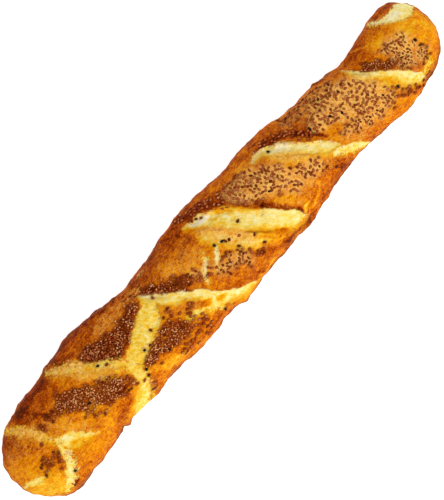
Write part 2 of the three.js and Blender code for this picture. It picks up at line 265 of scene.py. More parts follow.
# Where the crumb is browner or paler than the rest of its opening: path, softness, change of bake
CRUMB_SHADES = (
    (((-241, 8, 4), (-233, 12, 5)), 5, -0.1),
    (((-230, 18, 3), (-222, 23, 2.4)), 3, 0.12),
    (((-170, -21, 3), (-164, -17, 3)), 4, 0.12),
    (((-160, -14, 4), (-152, -12, 4)), 5, -0.06),
    (((-104, 9, 2.5), (-92, 3, 2)), 3, 0.12),
    (((-60, -9, 1.2), (-50, 0, 1.2)), 2, 0.12),
    (((-43, 23, 3.2), (-37, 27, 3.2)), 2.5, 0.3),
    (((-29, 32, 3), (-23, 34, 3)), 2.5, 0.28),
    (((2, -38, 3), (5, -31, 3)), 3, 0.24),
    (((10, -28, 4), (19, -17, 4.5), (28, -5, 4.5), (38, 7, 4), (48, 18, 3.5), (59, 30, 3)), 6, 0.08),
    (((34, -29, 2.6), (45, -19.5, 3), (56, -8, 3), (67, 2, 2.2)), 2.5, 0.24),
    (((28, -16, 3), (45, 0, 5), (62, 14, 5), (78, 32, 5)), 8, -0.06),
    (((61, 31, 1.8), (68, 37, 2)), 2, 0.3),
    (((116, -20, 3), (126, -11, 3.5), (136, 0, 3)), 4, 0.04),
    (((134, -21, 1.4), (142, -13, 1.4), (150, -4, 1.2)), 2, 0.16),
    (((238, 3, 2.5), (246, 12, 3), (252, 21, 3)), 4, 0.2),
)

# Where stretched skin is a dull tan: path, softness, amount
TANS = (
    (((-268, -38, 3), (-260, -29, 4.5), (-253, -18, 4.5), (-248, -8, 4)), 5, 0.85),
    (((-198, -46, 2), (-188, -39, 5), (-177, -32, 6), (-170, -26, 4)), 5, 0.7),
    (((-134, -38, 5), (-118, -37, 6), (-104, -36, 5)), 8, 0.12),
    # This one is painted shade along the cross tear's lower border
    (((-116, 9, 2.5), (-107, 10, 2.5)), 3, 0.5),
    (((-66, -43, 2), (-59, -43.5, 2)), 2, 0.7),
    (((-45, -22, 6), (-20, -14, 7), (-5, -18, 6)), 10, 0.1),
    (((-28, -4, 5), (-10, 4, 5), (2, 10, 4)), 8, 0.3),
    (((10, -26, 5), (18, -14, 7), (26, -3, 7), (34, 8, 6), (40, 18, 4)), 8, 0.65),
    (((-178, -22, 5), (-162, -8, 6), (-150, 0, 4)), 8, 0.35),
    (((95, -35, 2.5), (103, -36, 3), (110, -30, 3)), 3, 0.15),
    (((114, -22, 5), (124, -10, 5), (136, 3, 4)), 7, 0.6),
)

# Where the surface turns nearly white: path, softness, amount
WHITENINGS = (
    (((7, -38.5, 1), (13, -35.5, 2), (20, -33.5, 2), (27, -32, 1)), 2, 0.85),
    (((119, -26, 1.5), (126, -23, 2.4), (132, -19, 1.5)), 3, 0.55),
    (((-78, -28, 1), (-70, -18, 1.2)), 2, 0.4),
    (((-52, -3, 1.4), (-46, 2, 1.4)), 3, 0.35),
    (((294, -27, 2), (302, -25, 3), (306, -22, 2)), 5, 0.45),
    (((-20, 5, 1.5), (-8, -3, 1.5)), 2, 0.3),
    (((-2, 6, 1.4), (6, -2, 1.4)), 2, 0.3),
)

# Thin lines of painted shade in creases and along slash borders: path, softness, amount
CREASE_SHADE_LINES = (
    (((40, 8, 0.8), (46, 17, 0.9), (57, 26, 0.8)), 1.8, 0.5),
    (((62, 10.5, 0.6), (67, 4.5, 0.7)), 1.4, 0.7),
    (((119, -29, 0.7), (128, -25.5, 0.7), (136, -18.5, 0.7)), 1.6, 0.4),
    (((227.5, -18, 0.7), (233, -11, 0.7), (238.5, -4.5, 0.7)), 1.6, 0.5),
    (((-116, 7, 1), (-116, 12, 1)), 1.6, 0.6),
    (((-109.5, 8, 0.9), (-108.5, 13, 0.9)), 1.6, 0.5),
)

# Where the crust is full of pale fibres: path, softness, amount
FIBROUS = (
    (((80, 20, 8), (140, 22, 8), (200, 30, 6)), 12, 0.4),
    (((-250, -20, 6), (-225, 0, 8), (-210, 20, 6)), 10, 0.35),
    (((20, -10, 6), (40, 25, 8)), 10, 0.4),
    (((-290, -5, 8), (-280, -18, 10), (-262, -12, 8), (-258, 0, 6)), 12, 0.2),
    (((-180, -24, 6), (-160, -6, 6)), 8, 0.4),
    (((-135, -38, 6), (-100, -38, 6), (-70, -36, 5)), 8, 0.5),
    (((-50, -30, 8), (-20, -15, 10), (-10, 5, 6)), 12, 0.3),
    (((60, -25, 10), (100, -10, 12)), 12, 0.4),
    (((170, -20, 12), (225, -5, 14)), 12, 0.4),
)

# Where sesame lies: path, spacing in millimetres, toast of the seeds, and how scorched or tan their bed is;
# the scorch is partly darker crust and partly painted shade between packed seeds
SEED_BANDS = (
    (((-268, 15, 3.4), (-258, 13.5, 4.2), (-248, 14, 4.4)), 2.45, 0.74, 0.06, 0),
    (((-263, 21, 3), (-254, 24, 4)), 3.8, 0.72, 0.02, 0),
    (((-237, -29, 2.5), (-234, -23, 2.5), (-231, -19, 2)), 3, 0.85, 0.08, 0),
    (((-246, -17, 2.4), (-237, -13, 3.4), (-222, -17, 3.4)), 2.8, 0.74, 0.05, 0),
    ((
        (-214, -17, 6), (-205, -12, 9), (-195, -6, 10), (-185, 1, 9), (-175, 6, 10), (-165, 12, 10),
        (-157, 16, 7),
    ), 1.75, 0.46, 0.07, 0),
    (((-152, 12, 4), (-147, 22, 4), (-145, 30, 3)), 3.6, 0.6, 0.05, 0.1),
    (((-205, 10, 5), (-188, 16, 5), (-172, 22, 4)), 4.6, 0.6, 0, 0),
    (((-166, 19, 3), (-160, 22, 4), (-155, 20, 3)), 2.4, 0.95, 0.15, 0),
    ((
        (-164, -31, 4), (-152, -25, 8), (-140, -16, 13), (-128, -16, 12), (-114, -18, 8), (-102, -22, 6),
        (-92, -26, 4),
    ), 1.75, 0.56, 0.21, 0),
    ((
        (-122, 21, 2.5), (-110, 20, 5), (-100, 20, 8), (-90, 19, 12), (-80, 21, 11), (-70, 27, 6),
    ), 1.75, 0.48, 0.11, 0),
    (((-70, 27, 6), (-60, 31, 6), (-50, 34, 4)), 3.2, 0.65, 0.08, 0),
    (((-140, 40, 5), (-133, 38, 5)), 3.6, 0.65, 0.1, 0),
    (((-92, 38, 5), (-75, 41, 6), (-50, 42, 4)), 4.2, 0.66, 0.04, 0),
    (((-74, -28, 2.5), (-66, -22, 5), (-56, -15, 5.5), (-46, -8, 5), (-39, -1, 4)), 1.85, 0.54, 0.15, 0),
    (((-52, -17, 5), (-38, -8, 6), (-28, 0, 6), (-25, 8, 4)), 3.6, 0.65, 0.06, 0.1),
    (((-95, -36, 5), (-70, -36, 4)), 5, 0.6, 0, 0),
    (((-72, -2, 4), (-60, 8, 5), (-50, 17, 5)), 4.2, 0.65, 0.02, 0.1),
    (((-8, 14, 5), (2, 16, 7), (12, 17, 8), (20, 23, 7), (20, 31, 4)), 3, 0.68, 0, 0.42),
    (((-25, 0, 4), (-8, 8, 5), (5, 10, 4)), 4, 0.7, 0, 0.1),
    (((2, -50, 3), (18, -48, 4), (32, -42, 5), (43, -34, 6), (54, -20, 6), (64, -8, 4)), 3.4, 0.55, 0.03, 0),
    (((54, -32, 6), (66, -24, 12), (80, -18, 15), (96, -8, 14), (108, 2, 9)), 3.3, 0.66, 0, 0.7),
    (((104, 12, 7), (122, 12, 9), (137, 16, 7)), 3.5, 0.7, 0, 0.7),
    (((108, -40, 3), (122, -34, 4), (136, -28, 4.5), (150, -16, 4), (160, -2, 3)), 3.2, 0.65, 0.06, 0),
    (((140, -36, 4), (160, -33, 6), (180, -31, 7), (208, -26, 7)), 3.4, 0.7, 0, 0.38),
    (((166, -10, 9), (180, -14, 15), (200, -8, 19), (216, 0, 18), (230, 10, 12)), 3.4, 0.66, 0, 0.82),
    (((180, 16, 5), (195, 20, 7), (212, 24, 8), (228, 25, 8), (238, 24, 5)), 2.9, 0.66, 0, 0.5),
    (((238, -14, 2.5), (243, -10, 3.5), (252, -2, 4.5), (261, 6, 4)), 1.8, 0.5, 0, 0),
    (((266, -10, 4), (276, -7, 7), (287, -2, 7)), 2.6, 0.7, 0, 0.85),
    (((268, 3, 4), (278, 6, 6), (288, 8, 5)), 2.6, 0.75, 0, 0.7),
    (((267, 12, 5), (277, 16, 9), (286, 18, 9), (295, 20, 4.5)), 2.25, 0.72, 0.06, 0.45),
    (((240, 23, 4), (247, 29, 5), (252, 35, 4)), 2.6, 0.68, 0, 0.2),
    (((252, 37, 3.5), (268, 41, 3.5), (284, 38, 3)), 2.7, 0.7, 0.02, 0),
)

# Black seeds, as (along, across) on the grid
BLACK_SEEDS = (
    (8, -7), (16.5, -4), (84.5, -1.5), (113.5, -29), (158, -13), (181, -6), (191.5, 0), (294, 6.5),
    (248, 25), (-251.5, 38.5), (-129, 24), (-192, 4), (-159, -14), (-99, 28), (-32, 43), (-116, 10),
)

# Dark toasted seeds that lie by themselves, as (along, across) on the grid
SINGLE_SEEDS = (
    (32, 5), (43, 15), (22.5, 0), (19, -2), (44, 28), (24, 12), (-114, 32), (-152, -8), (-60, 18), (-60, 22),
    (-53, 17), (147.5, 32), (125.5, 14.5), (141, 25), (111, 17), (-254, -4), (-265, 7), (-272, 11),
    (-274, 20), (30, 31), (33, 29), (34.5, 32.5), (37.5, 31), (36.5, 34), (32, 33.5), (-72, -18), (42, -6),
    (-138, 30), (-132, 30), (-197, 15), (11, -40), (16, -38), (20, -35.5), (143.5, -43), (180, -37),
    (-109, 11), (-97, 2),
)

# The walls, floors, ears and burnt edges of the openings
WALL_WIDTH = 1.5
FULL_DEPTH_WIDTH = 4
SHALLOW_SHARE = 0.3
FLOOR_POWER = 1.4
EAR_WIDTH = 7
EAR_TAPER = 0.6
EAR_SOFTNESS = 1.4
TIP_MARGIN = 0.001
BURN_WIDTH = 4.5
BURN_STARTS = (-1, 0.5)
BURN_REACH = 3
LOW_EDGE_BAKE = 0.08
EARED_LOW_EDGE_BAKE = 0.14
LOW_EDGE_POWER = 1.5
EARED_RAG_LOSS = 0.7
PLAIN_CRUMB_BAKE = 0.2
PLAIN_RAG = 5.0
SIDE_CLOSING = 14
TORN_EDGE = (-0.3, 1)
SIDE_DEPTH = 0.35
SOLE_RELIEF = 0.15

# Layers of noise: amount, size of the lumps in millimetres, and shift
WANDER_ALONG = ((1.5, 9, 3.1), (0.8, 3.5, 7.7))
WANDER_ACROSS = ((1.5, 9, 11.3), (0.8, 3.5, 17.9))
CRUST_RELIEF = ((1.5, 16, 2.3), (1.1, 8, 5.9), (0.5, 4, 9.4))
CRUMB_RELIEF = ((0.8, 5, 1.7), (0.6, 2.6, 4.6))
RIM_WANDER = ((0.24, 30, 4.4), (0.14, 10, 3.3))
LOWER_BAKE_LAYERS = ((0.22, 34, 6.2), (0.12, 11, 8.8))
SCORCH_AND_SHADE_LAYERS = ((1.3, 5, 2.9), (0.8, 2.6, 8.1))
DULL_LAYERS = ((0.35, 22, 1.9),)

# Ranges of how far the surface faces up, from 1 on top to -1 below, over which something sets in
UPPER_FACING = (-0.05, 0.3)
CLOSED_FACING = (0.2, -0.1)
SOLE_FACING = (-0.9, -0.6)
CRAG_FACING = (0.6, 0.2)
RIM_FACING = (0.48, 0.06)
LOWER_FACING = (0.1, -0.55)
DULL_FACING = (0.62, -0.1)

# Ranges of the place across the loaf, from -1 at the near side to 1 at the far side
# Where the far side's extra browning and painted shade set in
FAR_BROWNS_AND_SHADE = (0.1, 0.95)
NEAR_BROWNS = (-0.1, -0.8)
NEAR_HALF = (0.3, -0.6)

# How far the crust has browned, from 0 for pale to 1 for burnt, and how fibrous and dull it is; the far
# side's extra browning, the dark rims and the dull sides are partly painted shade
TOP_BAKE = 0.53
# The far side browns more, partly real browning and partly painted shade on the side turned from the key
# light
FAR_MORE_BAKE_AND_SHADE = 0.14
NEAR_MORE_BAKE = 0.055
# The long sides darken towards the outline, partly as browner crust and partly as painted shade along the
# outline
FAR_EDGE_BAKE_AND_SHADE = 0.74
NEAR_EDGE_BAKE_AND_SHADE = 0.72
LOWER_BAKE = 0.76
RIM_SHARE = 0.85
PLAIN_FIBROUS = 0.14
# The sides are mixed towards a dull brown, partly their own colour and partly painted shade along the
# outline, more on the near side where the key light falls
DULL_AND_SHADE_SHARE = 0.26
NEAR_MORE_DULL_AND_SHADE = 0.2
SEED_BAND_SOFTNESS = 8
TAN_SOFTNESS = 15
# The ring round each seed: toasted crust with painted contact shade, or a painted pale highlight on tan
HALO_INNER = 1.0
HALO_OUTER = 2.8

# A sesame seed: its size in millimetres and its form
SEED_LENGTH = 3.8
SEED_WIDTH = 2.9
SEED_HEIGHT = 1.3
SEED_BELTS = 5
SEED_CORNERS = 7
SEED_BLUNTNESS = 0.75
SEED_BROAD_END = 1.18
SEED_NARROWING = 0.62

# How the sesame is scattered
SEED_DRAW = 20
TRIES_PER_SEED = 8
FRINGE = 1.6
DART_SPREAD = 2
BAND_EDGE = (0.7, 1)
STRAY = 0.1
CLUMPING = 0.4
CLUMP_GAP = 2.8
THINNING_SIZE = 8
MEAN_CHANCE = 0.65
CHANCE_SWING = 1.4
LEAST_CHANCE = 0.2
SEED_GAPS = (0.55, 0.95)
LEAST_GAP = 2.4
EDGE_OF_SEEDS = 0.96

# How each seed lies: spacings in millimetres, tips and unevenness as spreads, piles in millimetres
DENSE_SPACING = 2.4
LOOSE_SPACING = 3
FULL_SIZE_SPACING = 3.2
DENSE_SIZE = 0.67
SEED_SIZES = (0.86, 1.12)
LOOSE_TIP = 0.16
CLOSE_TIP = 0.42
LOOSE_UNEVEN = 0.13
DENSE_UNEVEN = 0.25
LOOSE_PILE = (-0.05, 0.15)
DENSE_PILE = (-0.2, 0.9)
SEED_RAISED = 0.3
LEAST_TOAST = 0.2
LONE_TOAST = 0.82
LONE_SPACING = 5
BLACK_TOAST = 0.5
BLACK_SPACING = 4
RAY_START = 0.2


# Lines and paths

def nearest_half(value):
    """The value to the nearest half."""
    return round(value * 2) / 2


def on_loaf(picked):
    """A point picked on the grid as (x, y), or (x, y, half width), in rounded millimetres."""
    along, across, *half_width = picked
    x = nearest_half((along - GRID_MIDDLE) * GRID_STEP)
    y = nearest_half(-across * GRID_STEP)
    return (x, y, *[round(half * GRID_STEP, 1) for half in half_width])


def smooth_line(places, values, at):
    """A smooth curve through values at the given places, read at other places."""
    slopes = np.gradient(values, places)
    left = np.clip(np.searchsorted(places, at) - 1, 0, len(places) - 2)
    gap = places[left + 1] - places[left]
    share = np.clip((at - places[left]) / gap, 0, 1)
    start = (1 + 2 * share) * (1 - share) ** 2 * values[left]
    start_slope = share * (1 - share) ** 2 * gap * slopes[left]
    end = share ** 2 * (3 - 2 * share) * values[left + 1]
    end_slope = share ** 2 * (share - 1) * gap * slopes[left + 1]
    return start + start_slope + end + end_slope


def smooth_step(low, high, value):
    """0 up to low, 1 from high on, and an even rise between them; low may be the greater."""
    share = np.clip((value - low) / (high - low), 0, 1)
    return share * share * (3 - 2 * share)


class Path:
    """A smooth path seen from above, in millimetres, through points picked on the grid."""

    STEP = 1.5
    NARROWEST = 0.4
    FAR_OFF = -99.0
    MARGIN = 16

    def __init__(self, picked):
        points = np.array([on_loaf(point) for point in picked], float)
        steps = np.hypot(np.diff(points[:, 0]), np.diff(points[:, 1]))
        along = np.concatenate([[0], np.cumsum(steps)])
        at = np.linspace(0, along[-1], int(along[-1] / self.STEP) + 3)
        self.middle = np.column_stack([smooth_line(along, points[:, side], at) for side in (0, 1)])
        self.half_width = np.maximum(smooth_line(along, points[:, 2], at), self.NARROWEST)
        heading = np.gradient(self.middle, axis=0)
        self.heading = heading / np.linalg.norm(heading, axis=1, keepdims=True)
        self.left = np.column_stack([-self.heading[:, 1], self.heading[:, 0]])
        self.share = at / along[-1]
        self.length = along[-1]

    def near(self, spots):
        """Which spots are near enough to the path to matter."""
        reach = self.half_width.max() + self.MARGIN
        low = self.middle.min(axis=0) - reach
        high = self.middle.max(axis=0) + reach
        return np.flatnonzero(((spots > low) & (spots < high)).all(axis=1))

    def read(self, spots):
        """For each spot: how far left of the path, the half width, the share along, the depth inside."""
        gaps = np.linalg.norm(spots[:, None, :] - self.middle[None], axis=2)
        nearest = gaps.argmin(axis=1)
        offset = spots - self.middle[nearest]
        to_left = (offset * self.left[nearest]).sum(axis=1)
        ahead = (offset * self.heading[nearest]).sum(axis=1)
        past = np.where(nearest == 0, -ahead, np.where(nearest == len(self.middle) - 1, ahead, 0))
        half_width = self.half_width[nearest]
        inside = half_width - np.abs(to_left) - np.maximum(past, 0)
        return to_left, half_width, self.share[nearest], inside

    def cover(self, spots, softness):
        """How much each spot is covered by the path's band, from 0 to 1."""
        covered = np.zeros(len(spots))
        chosen = self.near(spots)
        if len(chosen):
            inside = self.read(spots[chosen])[3]
            covered[chosen] = smooth_step(-softness / 2, softness / 2, inside)
        return covered


# The loaf's outline

box_low, box_high = box_before
LENGTH = (box_high.x - box_low.x) / MM
FAR_PLACES, FAR_VALUES = np.array(FAR_SIDE, float).T
NEAR_PLACES, NEAR_VALUES = np.array(NEAR_SIDE, float).T
SHIFT_ACROSS = FAR_VALUES.max() - box_high.y / MM


def end_rounding(x):
    """How far the loaf has narrowed at x, from 1 along its body to 0 at its tips."""
    reach = np.where(x < 0, BROAD_END_REACH, NARROW_END_REACH)
    power = np.where(x < 0, BROAD_END_POWER, NARROW_END_POWER)
    share = np.clip((np.abs(x) - (LENGTH / 2 - reach)) / reach, 0, 1)
    return (1 - share ** power) ** (1 / power)


def outline_at(x):
    """The far and the near side of the loaf at x, and its half width before the ends are rounded."""
    far = smooth_line(FAR_PLACES, FAR_VALUES, x)
    near = smooth_line(NEAR_PLACES, NEAR_VALUES, x)
    middle = (far + near) / 2
    rounding = end_rounding(x)
    return middle + (far - middle) * rounding, middle + (near - middle) * rounding, (far - near) / 2


def ring_places():
    """Where the rings stand along the loaf, closer together towards both tips."""
    body_start = BROAD_END_REACH - LENGTH / 2
    body_end = LENGTH / 2 - NARROW_END_REACH
    broad = np.arange(1, BROAD_END_RINGS) * math.pi / 2 / BROAD_END_RINGS
    narrow = np.arange(1, NARROW_END_RINGS) * math.pi / 2 / NARROW_END_RINGS
    return np.concatenate([
        body_start - BROAD_END_REACH * np.cos(broad),
        np.linspace(body_start, body_end, BODY_RINGS + 1),
        body_end + NARROW_END_REACH * np.sin(narrow),
    ])


def ring_forms():
    """For each ring: its middle, its turn about Z, its half width and its half height."""
    places = ring_places()
    slant = RING_SLANT * smooth_step(SLANT_STARTS, SLANT_FULL, LENGTH / 2 - np.abs(places))
    half = outline_at(places)[2] * end_rounding(places)
    far_x = places - slant * half
    near_x = places + slant * half
    far = np.column_stack([far_x, outline_at(far_x)[0]])
    near = np.column_stack([near_x, outline_at(near_x)[1]])
    full_height = outline_at(places)[2] * HALF_HEIGHT_SHARE
    middles = np.column_stack([(far + near) / 2, full_height * MIDDLE_HEIGHT_SHARE])
    span = far - near
    turns = np.arctan2(-span[:, 0], span[:, 1])
    half_widths = np.linalg.norm(span, axis=1) / 2
    half_heights = full_height * end_rounding(places)
    return middles * MM, turns, half_widths * MM, half_heights * MM


# Modelling the loaf

def choose_vertices(piece, wanted):
    """Selects the vertices for which the array says so, and opens the piece in edit mode."""
    bpy.ops.object.mode_set(mode="EDIT")
    bpy.ops.mesh.select_mode(type="VERT")
    bpy.ops.mesh.select_all(action="DESELECT")
    bpy.ops.object.mode_set(mode="OBJECT")
    piece.data.vertices.foreach_set("select", np.asarray(wanted, bool))
    bpy.ops.object.mode_set(mode="EDIT")


def places_of(mesh):
    """The mesh's vertices, in metres."""
    flat = np.empty(len(mesh.vertices) * 3)
    mesh.vertices.foreach_get("co", flat)
    return flat.reshape(-1, 3)


def normals_of(mesh):
    """The mesh's vertex normals."""
    flat = np.empty(len(mesh.vertices) * 3)
    mesh.vertex_normals.foreach_get("vector", flat)
    return flat.reshape(-1, 3)


def model_loaf():
    """A disc of dough drawn out ring by ring to the loaf's length, flattened below and smoothed."""
    middles, turns, half_widths, half_heights = ring_forms()
    bpy.ops.object.select_all(action="DESELECT")
    bpy.ops.mesh.primitive_circle_add(
        vertices=RING_CORNERS, radius=1, fill_type="TRIFAN", rotation=(0, math.pi / 2, 0)
    )
    loaf = bpy.context.object
    loaf.name = "loaf"
    bpy.ops.object.transform_apply(location=False, rotation=True, scale=False)
    bpy.ops.object.mode_set(mode="EDIT")
    bpy.ops.mesh.select_all(action="SELECT")
    bpy.ops.transform.resize(value=(1, half_widths[0], half_heights[0]), center_override=(0, 0, 0))
    bpy.ops.transform.translate(value=middles[0])
    for ring in range(1, len(middles)):
        step = middles[ring] - middles[ring - 1]
        turn = turns[ring] - turns[ring - 1]
        wider = half_widths[ring] / half_widths[ring - 1]
        higher = half_heights[ring] / half_heights[ring - 1]
        bpy.ops.mesh.extrude_region_move(TRANSFORM_OT_translate={"value": step})
        bpy.ops.transform.rotate(value=-turn, orient_axis="Z", center_override=middles[ring])
        bpy.ops.transform.resize(value=(wider, wider, higher), center_override=middles[ring])
    bpy.ops.object.mode_set(mode="OBJECT")
    tips = ((middles[0], -LENGTH / 2 * MM), (middles[-1], LENGTH / 2 * MM))
    for middle, tip in tips:
        gaps = np.linalg.norm(places_of(loaf.data) - middle, axis=1)
        choose_vertices(loaf, gaps == gaps.min())
        bpy.ops.transform.translate(value=(tip - middle[0], 0, 0))
        bpy.ops.object.mode_set(mode="OBJECT")
    choose_vertices(loaf, places_of(loaf.data)[:, 2] < 0)
    bpy.ops.transform.resize(value=(1, 1, 0), center_override=(0, 0, 0))
    bpy.ops.mesh.select_all(action="SELECT")
    bpy.ops.mesh.normals_make_consistent(inside=False)
    bpy.ops.object.mode_set(mode="OBJECT")
    smooth = loaf.modifiers.new("smooth", "SUBSURF")
    smooth.levels = SMOOTHING_LEVELS
    smooth.render_levels = SMOOTHING_LEVELS
    bpy.ops.object.modifier_apply(modifier=smooth.name)
    bpy.ops.object.shade_smooth()
    return loaf


# Relief and browning, as fields over the loaf's vertices

def lumps(points, size, shift=0.0):
    """Smooth noise over points in millimetres, with lumps of about the given size."""
    return np.array([noise.noise(Vector(point)) for point in points / size + shift])


def layered(points, layers, start=0):
    """A start with layers of noise added to it, each as (amount, size, shift)."""
    for amount, size, shift in layers:
        start = start + amount * lumps(points, size, shift)
    return start


def wandered(points):
    """The points seen from above and moved a little by noise, so that drawn borders turn ragged."""
    return points[:, :2] + np.column_stack([layered(points, WANDER_ALONG), layered(points, WANDER_ACROSS)])


def read_openings(spots):
    """Over the spots: depth inside an opening, its floor, ear, burn, crumb bake, raggedness and softness."""
    count = len(spots)
    fields = {
        "inside": np.full(count, Path.FAR_OFF),
        "floor": np.zeros(count),
        "lift": np.zeros(count),
        "burn": np.zeros(count),
        "crumb": np.full(count, PLAIN_CRUMB_BAKE),
        "rag": np.full(count, PLAIN_RAG),
        "soft": np.full(count, EAR_SOFTNESS),
    }
    for opening in OPENINGS.values():
        path = Path(opening["path"])
        chosen = path.near(spots)
        to_left, half_width, share, inside = path.read(spots[chosen])
        lean = np.clip((to_left + half_width) / (2 * half_width), 0, 1)
        fullness = np.minimum(half_width / FULL_DEPTH_WIDTH, 1)
        depth = opening["depth"] * fullness * (SHALLOW_SHARE + (1 - SHALLOW_SHARE) * lean ** FLOOR_POWER)
        floor = -depth * smooth_step(0, WALL_WIDTH, inside)
        beyond = to_left - half_width
        outside = np.maximum(beyond, 0)
        taper = np.sin(math.pi * np.clip(share, TIP_MARGIN, 1 - TIP_MARGIN)) ** EAR_TAPER
        edge = smooth_step(-WALL_WIDTH, 0, beyond) * np.clip(1 - outside / EAR_WIDTH, 0, 1) ** 2
        lift = opening["ear"] * taper * edge * (inside > -EAR_WIDTH)
        burn = opening["burn"] * taper * np.exp(-outside / BURN_WIDTH)
        burn = burn * smooth_step(*BURN_STARTS, beyond) * (inside > -BURN_REACH * BURN_WIDTH)
        ear_share = min(opening["ear"], 1)
        low_edge = LOW_EDGE_BAKE + EARED_LOW_EDGE_BAKE * ear_share
        crumb = opening["bake"] + low_edge * (1 - lean) ** LOW_EDGE_POWER
        eared = lean * ear_share
        rag = opening["rag"] * (1 - EARED_RAG_LOSS * eared)
        soft = opening["soft"] * (1 - eared) + EAR_SOFTNESS * eared
        deeper = inside > fields["inside"][chosen]
        for name, values in (("inside", inside), ("crumb", crumb), ("rag", rag), ("soft", soft)):
            fields[name][chosen[deeper]] = values[deeper]
        fields["floor"][chosen] = np.minimum(fields["floor"][chosen], floor)
        fields["lift"][chosen] = np.maximum(fields["lift"][chosen], lift)
        fields["burn"][chosen] = np.maximum(fields["burn"][chosen], burn)
    return fields


def covering(spots, bands):
    """The summed amounts over the spots from bands of (path, softness, amount)."""
    total = np.zeros(len(spots))
    for path, softness, amount in bands:
        total += amount * Path(path).cover(spots, softness)
    return total


def write_field(mesh, name, values):
    """Stores one number a vertex under a name that the materials read."""
    field = mesh.attributes.new(name, "FLOAT", "POINT")
    field.data.foreach_set("value", np.asarray(values, np.float32))


def risen(points, normals, openings, torn, upper):
    """The loaf's points moved by the relief of crust and crumb, the openings and the crags."""
    facing = normals[:, 2]
    rise = layered(points, CRUST_RELIEF) * (1 - torn) + layered(points, CRUMB_RELIEF) * torn
    bare = SIDE_DEPTH + (1 - SIDE_DEPTH) * np.clip(facing, 0, 1)
    rise = rise + upper * bare * (openings["floor"] + openings["lift"])
    for x, y, reach, out in CRAGS:
        crag = smooth_step(reach, 0, np.hypot(points[:, 0] - x, points[:, 1] - y))
        rise = rise + out * crag * smooth_step(*CRAG_FACING, np.abs(facing))
    off_sole = smooth_step(*SOLE_FACING, facing)
    moved = points + normals * (rise * (SOLE_RELIEF + (1 - SOLE_RELIEF) * off_sole))[:, None]
    moved[:, 2] = np.maximum(moved[:, 2], 0)
    return moved


def bake_loaf(loaf):
    """Raises the crust, tears the slashes open, and writes how the loaf has browned, with painted shade on
    the far side, at the rims, in creases and between packed seeds.
    """
    mesh = loaf.data
    points = places_of(mesh) / MM
    normals = normals_of(mesh)
    facing = normals[:, 2]
    spots = wandered(points)
    upper = smooth_step(*UPPER_FACING, facing)
    openings = read_openings(spots)
    inside = openings["inside"] - SIDE_CLOSING * smooth_step(*CLOSED_FACING, facing)
    torn = smooth_step(*TORN_EDGE, inside)
    mesh.vertices.foreach_set("co", (risen(points, normals, openings, torn, upper) * MM).ravel())
    mesh.update()

    far, near, half = outline_at(points[:, 0])
    across = (points[:, 1] - (far + near) / 2) / np.maximum(half, 1)
    near_half = smooth_step(*NEAR_HALF, across)
    steepness = layered(points, RIM_WANDER, facing)
    # The rims are darkened, partly as browner crust and partly as painted shade along the outline
    rim = RIM_SHARE * smooth_step(*RIM_FACING, steepness)
    rim_bake_and_shade = FAR_EDGE_BAKE_AND_SHADE + near_half * (NEAR_EDGE_BAKE_AND_SHADE - FAR_EDGE_BAKE_AND_SHADE)
    lower = smooth_step(*LOWER_FACING, steepness)
    # The far side browns more, partly as painted shade away from the key light
    bake = TOP_BAKE + FAR_MORE_BAKE_AND_SHADE * smooth_step(*FAR_BROWNS_AND_SHADE, across)
    bake = bake + NEAR_MORE_BAKE * smooth_step(*NEAR_BROWNS, across)
    bake = bake + rim * (rim_bake_and_shade - bake)
    bake = bake + lower * (layered(points, LOWER_BAKE_LAYERS, LOWER_BAKE) - bake)
    bake = bake + upper * (covering(spots, BROWNINGS) - covering(spots, GOLDENINGS))
    # The seed beds darken, partly scorched crust and partly painted shade between packed seeds
    scorch_and_shade = np.zeros(len(points))
    tan = covering(spots, TANS)
    for path, _, _, scorched_and_shaded, tanned in SEED_BANDS:
        scorch_and_shade = np.maximum(scorch_and_shade, scorched_and_shaded * Path(path).cover(spots, SEED_BAND_SOFTNESS))
        tan = np.maximum(tan, tanned * Path(path).cover(spots, TAN_SOFTNESS))
    scorch_and_shade = scorch_and_shade * layered(points, SCORCH_AND_SHADE_LAYERS, 1)
    bake = bake + upper * (scorch_and_shade + openings["burn"] * (1 - torn))
    # The dull brown of the sides, partly real and partly painted shade along the outline
    dull = layered(points, DULL_LAYERS, DULL_AND_SHADE_SHARE + NEAR_MORE_DULL_AND_SHADE * near_half)
    fields = {
        "opening": inside,
        "rag": openings["rag"],
        "soft": openings["soft"],
        "fibrous": upper * (PLAIN_FIBROUS + covering(spots, FIBROUS)),
        "crust_bake": np.clip(bake, 0, 1),
        "crumb_bake": np.clip(openings["crumb"] + covering(spots, CRUMB_SHADES), 0, 1),
        "tan_bed": tan * upper,
        "white": covering(spots, WHITENINGS) * upper,
        "crease_shade": np.clip(covering(spots, CREASE_SHADE_LINES), 0, 1) * upper,
        "dull": np.clip(dull, 0, 1) * smooth_step(*DULL_FACING, steepness) * (1 - torn),
    }
    for name, values in fields.items():
        write_field(mesh, name, values)


def shade_round_seeds(loaf, seeds):
    """Writes how close each vertex of the loaf is to a seed, where the crust gets a toasted ring with
    painted contact shade, or a painted pale highlight on tan.
    """
    tree = KDTree(len(seeds))
    for index, seed in enumerate(seeds):
        tree.insert(seed, index)
    tree.balance()
    gaps = np.array([tree.find(vertex.co)[2] for vertex in loaf.data.vertices]) / MM
    write_field(loaf.data, "seed_halo", smooth_step(HALO_OUTER, HALO_INNER, gaps))


# Seeds

